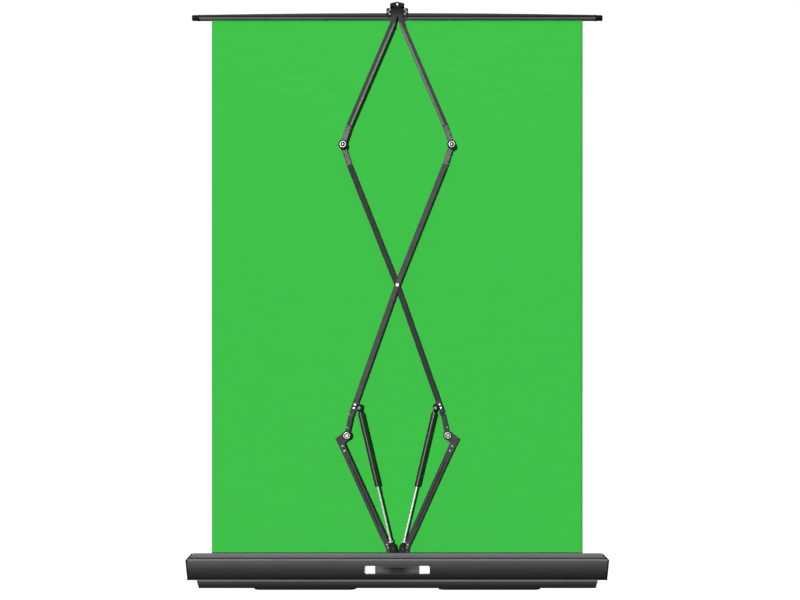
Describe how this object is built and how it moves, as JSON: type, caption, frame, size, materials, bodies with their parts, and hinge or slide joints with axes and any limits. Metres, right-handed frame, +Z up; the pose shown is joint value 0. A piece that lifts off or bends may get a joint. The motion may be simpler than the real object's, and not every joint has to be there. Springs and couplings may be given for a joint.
{
  "type": "collapsible backdrop panel",
  "caption": "Pull-up backdrop: long floor case with spring roller, scissor frame with gas struts, top rail and a green cloth panel.",
  "frame": {"origin": "on the floor, at the centre of the footprint's bounding box", "axes": "+X along the case, +Y from the frame side towards the cloth side, +Z up"},
  "size_m": [1.65, 0.124, 2.304],
  "materials": {
    "case_aluminium": "black satin anodised extrusion",
    "tray_steel": "black powder coat",
    "end_cap_plastic": "black moulded nylon, fine texture",
    "case_screw_steel": "blackened screw heads and zinc nuts",
    "recess_plastic": "white moulded recess",
    "strap_rubber": "black soft grip",
    "bracket_steel": "gunmetal plated pressing",
    "dark_bracket_steel": "dark grey coated pressing",
    "arm_steel": "dark grey satin coated tube",
    "pin_steel": "polished pivot bolts",
    "rivet_steel": "bright rivet heads",
    "rod_chrome": "hard chrome piston rod",
    "cylinder_paint": "gloss black cylinder",
    "fitting_plastic": "black glass-filled nylon",
    "rail_aluminium": "dark anodised rail",
    "hub_plastic": "black nylon moulding",
    "roller_aluminium": "plain tube",
    "plug_plastic": "grey nylon plugs",
    "spring_steel": "close wound torsion spring",
    "foot_steel": "black powder coat",
    "cloth": "matt woven green polyester, wrinkle resistant"
  },
  "bodies": {
    "case": {"front_panel": "case_aluminium", "rear_panel": "case_aluminium", "base_tray": "tray_steel", "end_cap_left": "end_cap_plastic", "end_cap_right": "end_cap_plastic", "case_screws": "case_screw_steel", "handle_recess": "recess_plastic", "handle_strap": "strap_rubber", "base_bracket": "dark_bracket_steel", "base_pivot_pins": "pin_steel", "roller_brackets": "bracket_steel", "foot_bolts": "pin_steel", "fabric_panel": "cloth"},
    "roller": {"roller_tube": "roller_aluminium", "roller_plugs": "plug_plastic", "roller_spring": "spring_steel"},
    "left_foot": {"foot_left": "foot_steel"},
    "right_foot": {"foot_right": "foot_steel"},
    "bar_a": {"long_bar_a": "arm_steel", "long_bar_a_lower_end": "dark_bracket_steel", "long_bar_a_upper_end": "bracket_steel", "strut_bracket_a": "dark_bracket_steel", "bar_rivets_a": "rivet_steel", "cross_pin": "pin_steel"},
    "bar_b": {"long_bar_b": "arm_steel", "long_bar_b_lower_end": "dark_bracket_steel", "long_bar_b_upper_end": "bracket_steel", "strut_bracket_b": "dark_bracket_steel", "bar_rivets_b": "rivet_steel"},
    "top": {"top_rail": "rail_aluminium", "rail_spine": "rail_aluminium", "rail_end_caps": "hub_plastic", "hub_block": "hub_plastic", "hub_plate": "hub_plastic", "hub_screws": "rivet_steel", "hub_pin": "pin_steel"},
    "left_lower_arm": {"lower_arm_left": "arm_steel", "lower_arm_foot_left": "dark_bracket_steel", "knee_gusset_left": "dark_bracket_steel", "arm_rivets_left": "rivet_steel", "lower_knee_pin_left": "pin_steel"},
    "left_upper_arm": {"upper_arm_left": "arm_steel", "upper_arm_bracket_left": "bracket_steel", "upper_knee_pin_left": "pin_steel"},
    "left_rod": {"strut_rod_left": "rod_chrome", "strut_eye_left": "fitting_plastic"},
    "left_cylinder": {"strut_cylinder_left": "cylinder_paint", "strut_socket_left": "fitting_plastic"},
    "right_lower_arm": {"lower_arm_right": "arm_steel", "lower_arm_foot_right": "dark_bracket_steel", "knee_gusset_right": "dark_bracket_steel", "arm_rivets_right": "rivet_steel", "lower_knee_pin_right": "pin_steel"},
    "right_upper_arm": {"upper_arm_right": "arm_steel", "upper_arm_bracket_right": "bracket_steel", "upper_knee_pin_right": "pin_steel"},
    "right_rod": {"strut_rod_right": "rod_chrome", "strut_eye_right": "fitting_plastic"},
    "right_cylinder": {"strut_cylinder_right": "cylinder_paint", "strut_socket_right": "fitting_plastic"}
  },
  "joints": [
    {"name": "fold", "type": "hinge", "parent": "case", "child": "left_lower_arm", "pos_m": [-0.02652, 0, 0.03], "axis": [0, -1, 0], "range_deg": [0, 69.63], "deforming": ["fabric_panel"]},
    {"name": "right_arm_fold", "type": "hinge", "parent": "case", "child": "right_lower_arm", "pos_m": [0.02652, 0, 0.03], "axis": [0, 1, 0], "range_deg": [0, 69.73]},
    {"name": "left_lower_knee", "type": "hinge", "parent": "left_lower_arm", "child": "bar_a", "pos_m": [-0.1982, 0, 0.602], "axis": [0, 1, 0], "range_deg": [0, 137.62]},
    {"name": "right_lower_knee", "type": "hinge", "parent": "right_lower_arm", "child": "bar_b", "pos_m": [0.1982, 0, 0.602], "axis": [0, -1, 0], "range_deg": [0, 137.62]},
    {"name": "right_upper_knee", "type": "hinge", "parent": "bar_a", "child": "right_upper_arm", "pos_m": [0.2137, 0, 1.744], "axis": [0, -1, 0], "range_deg": [0, 135.88]},
    {"name": "left_upper_knee", "type": "hinge", "parent": "bar_b", "child": "left_upper_arm", "pos_m": [-0.2137, 0, 1.744], "axis": [0, 1, 0], "range_deg": [0, 135.88]},
    {"name": "top_level", "type": "hinge", "parent": "right_upper_arm", "child": "top", "pos_m": [0, 0, 2.2925], "axis": [0, 1, 0], "range_deg": [0, 67.99]},
    {"name": "left_strut_swing", "type": "hinge", "parent": "case", "child": "left_rod", "pos_m": [-0.01, 0, 0.12], "axis": [0, -1, 0], "range_deg": [0, 83.14]},
    {"name": "right_strut_swing", "type": "hinge", "parent": "case", "child": "right_rod", "pos_m": [0.01, 0, 0.12], "axis": [0, 1, 0], "range_deg": [0, 83.14]},
    {"name": "left_strut_stroke", "type": "slide", "parent": "left_rod", "child": "left_cylinder", "axis": [0.2287, 0, -0.9735], "range_m": [0, 0.121]},
    {"name": "right_strut_stroke", "type": "slide", "parent": "right_rod", "child": "right_cylinder", "axis": [-0.2287, 0, -0.9735], "range_m": [0, 0.121]},
    {"name": "left_foot_swivel", "type": "hinge", "parent": "case", "child": "left_foot", "pos_m": [-0.361, 0, 0.005], "axis": [0, 0, 1], "range_deg": [0, 90]},
    {"name": "right_foot_swivel", "type": "hinge", "parent": "case", "child": "right_foot", "pos_m": [0.361, 0, 0.005], "axis": [0, 0, -1], "range_deg": [0, 90]},
    {"name": "roller_spin", "type": "hinge", "parent": "case", "child": "roller", "pos_m": [0, 0.0385, 0.034], "axis": [1, 0, 0], "range_deg": [0, 8717]}
  ],
  "couplings": [
    {"joint": "right_arm_fold", "follows": "fold", "ratio": 1},
    {"joint": "left_lower_knee", "follows": "fold", "ratio": 1.975},
    {"joint": "right_lower_knee", "follows": "fold", "ratio": 1.975},
    {"joint": "right_upper_knee", "follows": "fold", "ratio": 1.9499},
    {"joint": "left_upper_knee", "follows": "fold", "ratio": 1.9499},
    {"joint": "top_level", "follows": "fold", "ratio": 0.97497},
    {"joint": "left_strut_swing", "follows": "fold", "ratio": 1.1926},
    {"joint": "right_strut_swing", "follows": "fold", "ratio": 1.1926},
    {"joint": "left_strut_stroke", "follows": "fold", "m_per_rad": 0.09919},
    {"joint": "right_strut_stroke", "follows": "fold", "m_per_rad": 0.09919},
    {"joint": "roller_spin", "follows": "fold", "ratio": 125.12}
  ]
}
